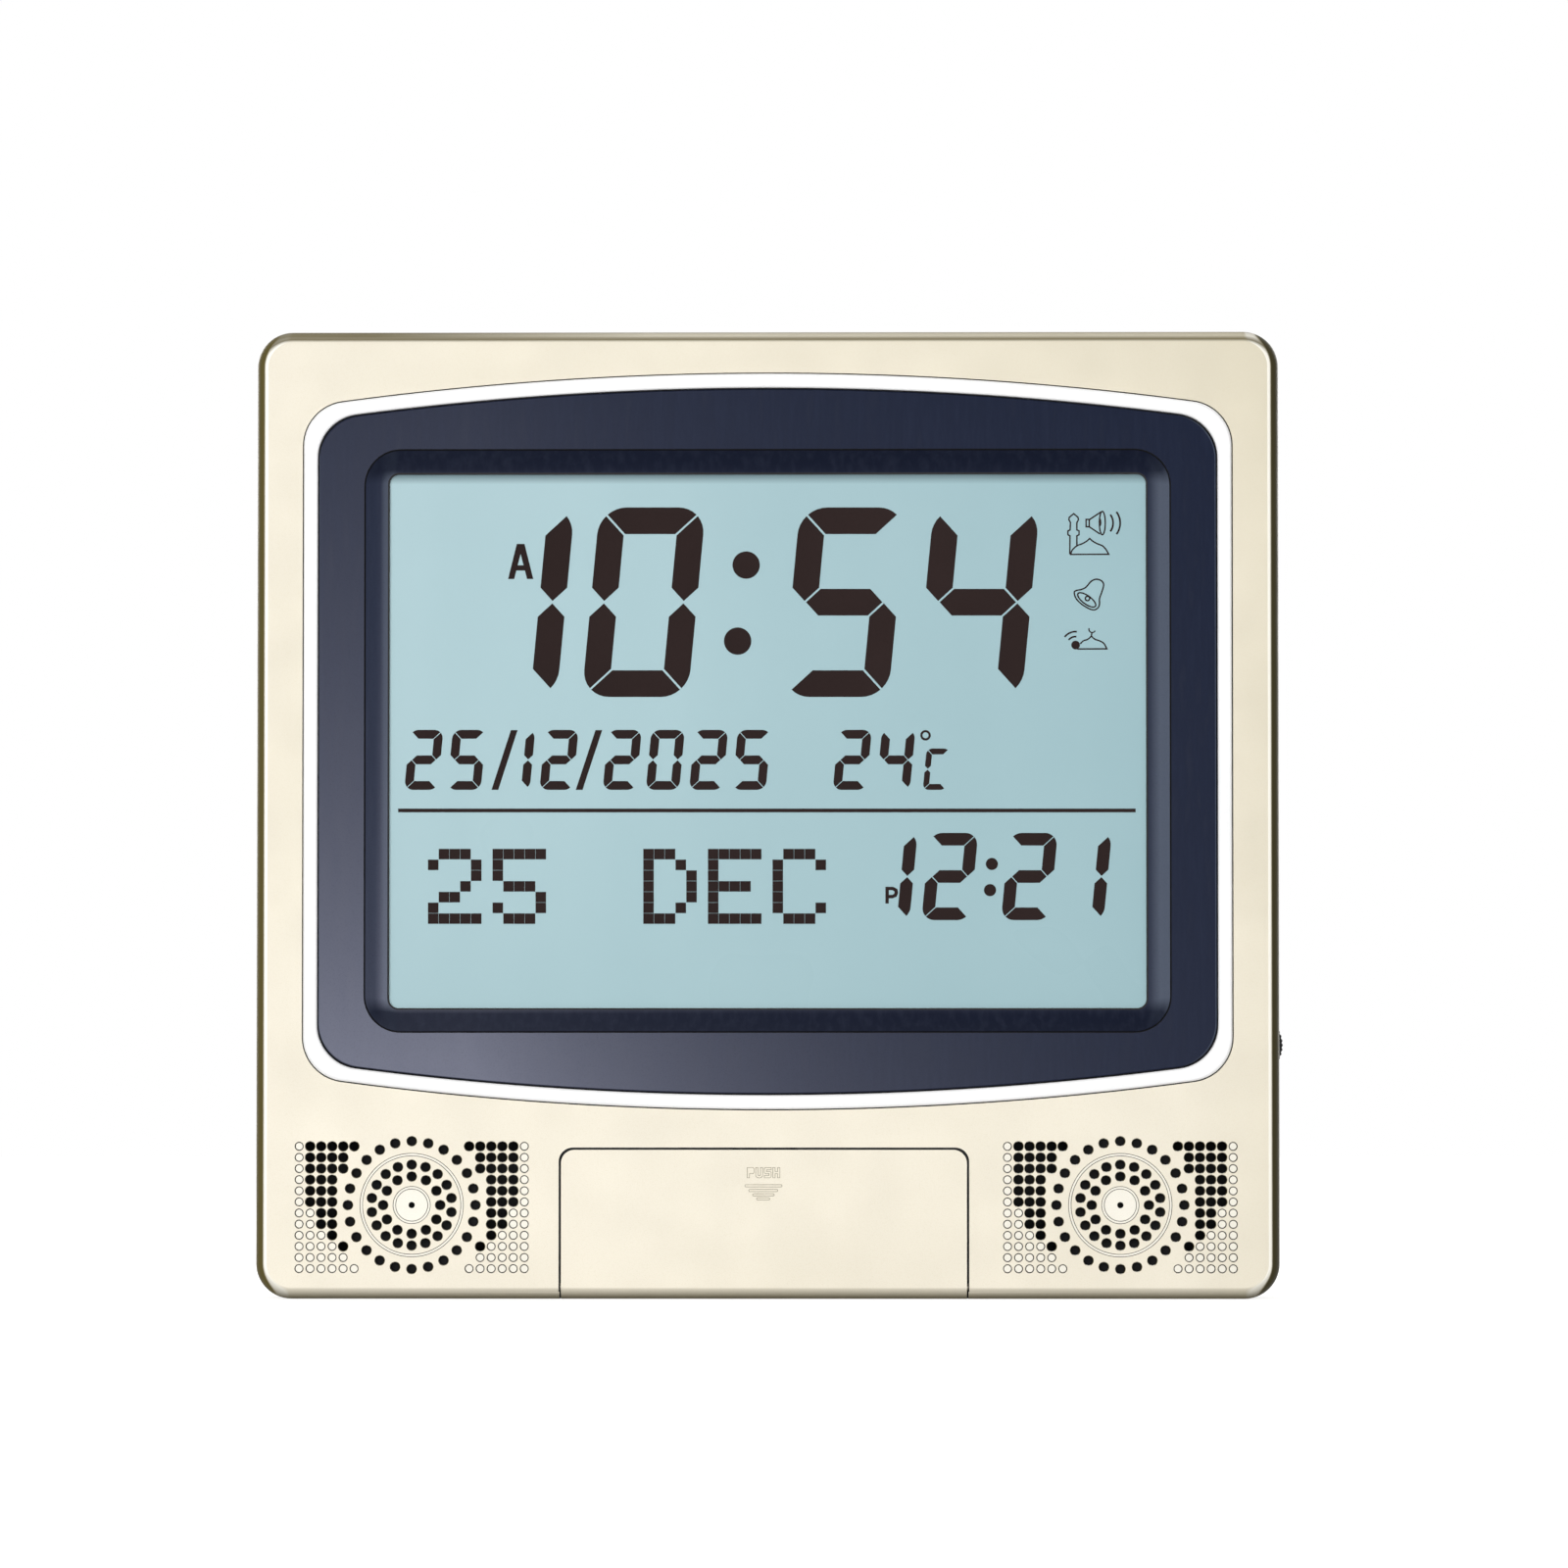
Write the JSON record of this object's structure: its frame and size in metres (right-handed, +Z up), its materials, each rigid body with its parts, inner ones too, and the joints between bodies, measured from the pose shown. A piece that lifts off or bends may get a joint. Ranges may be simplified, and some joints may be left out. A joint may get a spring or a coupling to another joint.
{
  "type": "azan clock",
  "caption": "Slim upright digital prayer-time clock with a framed LCD, perforated speaker grilles, a push-open control door, a volume thumb wheel and a folding stand leg.",
  "frame": {"origin": "middle of the flat bottom that the clock stands on, half way through the housing's depth", "axes": "+X to the clock's right as its front is seen, -Y out of the display, +Z up"},
  "size_m": [0.2612, 0.0348, 0.246],
  "materials": {
    "champagne_paint": "satin pearl champagne paint on moulded plastic",
    "white_paint": "gloss white",
    "navy_plastic": "semi-gloss dark navy",
    "lcd_glass": "pale blue-grey display glass behind a polariser",
    "reflector_white": "matt white",
    "elastomer": "matt striped elastomer",
    "circuit_board": "green solder mask",
    "black_resin": "gloss black resin",
    "capacitor_sleeve": "printed film sleeve",
    "zinc_steel": "bright zinc plating",
    "tray_plastic": "fine matt texture",
    "button_plastic": "satin cream",
    "cone_paper": "black pressed paper",
    "magnet_ferrite": "dark ferrite",
    "black_plastic": "black",
    "rear_plastic": "fine matt texture",
    "cell_jacket": "printed film over a steel can",
    "nickel_contact": "nickel-plated spring strip"
  },
  "bodies": {
    "housing": {"front_shell": "champagne_paint", "accent_ring": "white_paint", "display_frame": "navy_plastic", "lcd_panel": "lcd_glass", "lcd_reflector": "reflector_white", "contact_strip_low": "elastomer", "contact_strip_high": "elastomer", "main_board": "circuit_board", "controller_blob": "black_resin", "capacitor_can": "capacitor_sleeve", "crystal_can": "zinc_steel", "board_screw_1": "zinc_steel", "board_screw_2": "zinc_steel", "board_screw_3": "zinc_steel", "board_screw_4": "zinc_steel", "control_tray": "tray_plastic", "button_board": "circuit_board", "button_board_screw_1": "zinc_steel", "button_board_screw_2": "zinc_steel", "speaker_frame_left": "zinc_steel", "speaker_cone_left": "cone_paper", "speaker_magnet_left": "magnet_ferrite", "speaker_frame_right": "zinc_steel", "speaker_cone_right": "cone_paper", "speaker_magnet_right": "magnet_ferrite", "volume_control": "black_plastic", "volume_board": "circuit_board", "volume_screw": "zinc_steel", "rear_cover": "rear_plastic", "cover_screw_1": "zinc_steel", "cover_screw_2": "zinc_steel", "cover_screw_3": "zinc_steel", "cover_screw_4": "zinc_steel", "battery_1": "cell_jacket", "battery_2": "cell_jacket", "contact_bridge": "nickel_contact", "contact_plus": "nickel_contact", "contact_minus": "nickel_contact"},
    "door": {"control_door": "champagne_paint"},
    "wheel": {"volume_wheel": "black_plastic"},
    "leg": {"stand_leg": "rear_plastic"},
    "battery_cover": {"battery_door": "rear_plastic"},
    "key_1": {"button_1": "button_plastic"},
    "key_2": {"button_2": "button_plastic"},
    "key_3": {"button_3": "button_plastic"},
    "key_4": {"button_4": "button_plastic"},
    "key_5": {"button_5": "button_plastic"},
    "key_6": {"button_6": "button_plastic"}
  },
  "joints": [
    {"name": "door_hinge", "type": "hinge", "parent": "housing", "child": "door", "pos_m": [-0.0009, -0.014, 0.003], "axis": [1, 0, 0], "range_deg": [0, 88]},
    {"name": "volume_turn", "type": "hinge", "parent": "housing", "child": "wheel", "pos_m": [0.1232, -0.005, 0.0644], "axis": [0, 1, 0], "range_deg": [-135, 135]},
    {"name": "leg_hinge", "type": "hinge", "parent": "housing", "child": "leg", "pos_m": [0, 0.0152, 0.098], "axis": [1, 0, 0], "range_deg": [0, 30]},
    {"name": "battery_cover_lift", "type": "slide", "parent": "housing", "child": "battery_cover", "axis": [0, 1, 0], "range_m": [0, 0.03]},
    {"name": "key_1_press", "type": "slide", "parent": "housing", "child": "key_1", "axis": [0, 1, 0], "range_m": [0, 0.0006], "stiffness_N_per_m": 2500},
    {"name": "key_2_press", "type": "slide", "parent": "housing", "child": "key_2", "axis": [0, 1, 0], "range_m": [0, 0.0006], "stiffness_N_per_m": 2500},
    {"name": "key_3_press", "type": "slide", "parent": "housing", "child": "key_3", "axis": [0, 1, 0], "range_m": [0, 0.0006], "stiffness_N_per_m": 2500},
    {"name": "key_4_press", "type": "slide", "parent": "housing", "child": "key_4", "axis": [0, 1, 0], "range_m": [0, 0.0006], "stiffness_N_per_m": 2500},
    {"name": "key_5_press", "type": "slide", "parent": "housing", "child": "key_5", "axis": [0, 1, 0], "range_m": [0, 0.0006], "stiffness_N_per_m": 2500},
    {"name": "key_6_press", "type": "slide", "parent": "housing", "child": "key_6", "axis": [0, 1, 0], "range_m": [0, 0.0006], "stiffness_N_per_m": 2500}
  ]
}
